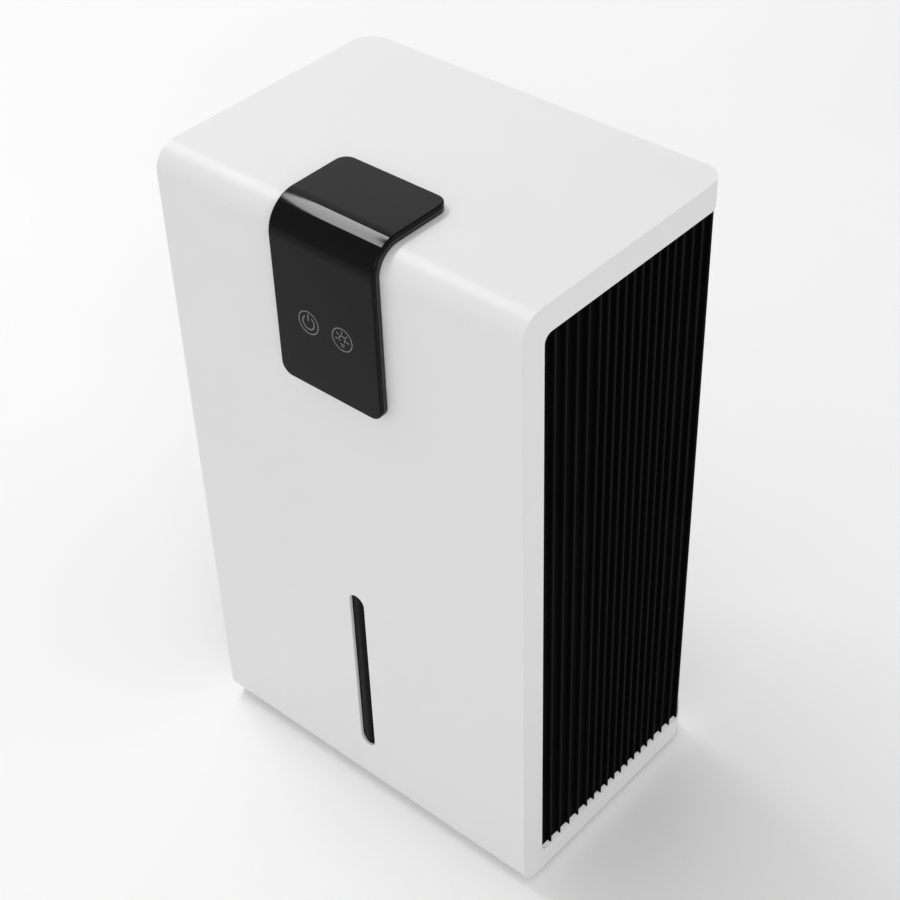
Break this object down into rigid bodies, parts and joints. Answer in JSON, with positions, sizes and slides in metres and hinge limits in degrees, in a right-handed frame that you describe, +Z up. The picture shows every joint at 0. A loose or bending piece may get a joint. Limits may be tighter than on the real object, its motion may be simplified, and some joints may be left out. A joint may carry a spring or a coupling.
{
  "type": "dehumidifier",
  "caption": "Small upright thermoelectric dehumidifier with a white wrap-round shell, black ribbed sides, a touch key panel over the top front edge and a tank behind a level slot.",
  "frame": {"origin": "centre of the whole object's box, on the surface that the feet stand on", "axes": "+Z up, the front with the key panel faces -Y, the tank slides out along +Y, +X is to the right of someone facing the front"},
  "size_m": [0.21, 0.1446, 0.3566],
  "materials": {
    "white_shell": "fine satin moulded ABS",
    "black_panel": "matt moulded ABS",
    "gloss_black": "polished, softly rounded edges",
    "smoked_plastic": "smoked clear, polished",
    "foot_rubber": "matt",
    "grey_plastic": "moulded, lightly textured",
    "tray_plastic": "moulded",
    "circuit_board": "green solder mask",
    "aluminium": "extruded, faint drawing lines",
    "steel": "zinc plated",
    "brass": "plain",
    "ceramic": "fired alumina",
    "foam": "closed-cell foam",
    "fan_plastic": "moulded",
    "ferrite": "sintered",
    "copper_coil": "enamelled copper wire",
    "black_component": "moulded",
    "wire_cover": "soft PVC",
    "connector_plastic": "moulded nylon",
    "led": "phosphor lens"
  },
  "bodies": {
    "root": {"chassis": "grey_plastic", "cold_sink": "aluminium", "cover_screw_1": "steel", "cover_screw_2": "steel", "cover_screw_3": "steel", "cover_screw_4": "steel", "dc_jack": "black_component", "drip_tray": "tray_plastic", "fan_bearing": "brass", "fan_frame": "fan_plastic", "fan_lead": "wire_cover", "fan_screw_1": "steel", "fan_screw_2": "steel", "fan_screw_3": "steel", "fan_screw_4": "steel", "fan_shroud": "grey_plastic", "fan_stator": "copper_coil", "foot_front_left": "foot_rubber", "foot_front_right": "foot_rubber", "foot_rear_left": "foot_rubber", "foot_rear_right": "foot_rubber", "hot_sink": "aluminium", "insulation_frame": "foam", "jack_nut": "steel", "level_sensor": "black_component", "level_sensor_board": "circuit_board", "main_board": "circuit_board", "main_capacitor": "black_component", "main_inductor": "copper_coil", "module_lead": "wire_cover", "night_light_board": "circuit_board", "night_light_led_1": "led", "night_light_led_2": "led", "night_light_led_3": "led", "outer_shell": "white_shell", "peltier_module": "ceramic", "power_connector": "connector_plastic", "rear_cover": "black_panel", "side_panel_left": "black_panel", "side_panel_right": "black_panel", "sink_screw_left": "steel", "sink_screw_right": "steel", "thermal_cutout": "black_component", "touch_board": "circuit_board", "touch_lead": "wire_cover", "touch_panel_base": "gloss_black", "touch_panel_cover": "gloss_black", "touch_spring_light": "brass", "touch_spring_power": "brass", "window_lens": "smoked_plastic"},
    "fan": {"fan_rotor": "fan_plastic", "fan_magnet": "ferrite", "fan_shaft": "steel"},
    "tank": {"water_tank": "smoked_plastic", "tank_fascia": "black_panel", "tank_lid": "grey_plastic", "float_pin": "steel"},
    "float": {"float_arm": "grey_plastic", "float_block": "foam", "float_magnet": "ferrite"}
  },
  "joints": [
    {"name": "fan_spin", "type": "hinge", "parent": "root", "child": "fan", "pos_m": [0, 0.0536, 0.247], "axis": [0, 1, 0], "continuous": true},
    {"name": "tank_slide", "type": "slide", "parent": "root", "child": "tank", "axis": [0, 1, 0], "range_m": [0, 0.13]},
    {"name": "float_swing", "type": "hinge", "parent": "tank", "child": "float", "pos_m": [0.072, 0.0323, 0.13], "axis": [-1, 0, 0], "range_deg": [0, 20]}
  ]
}
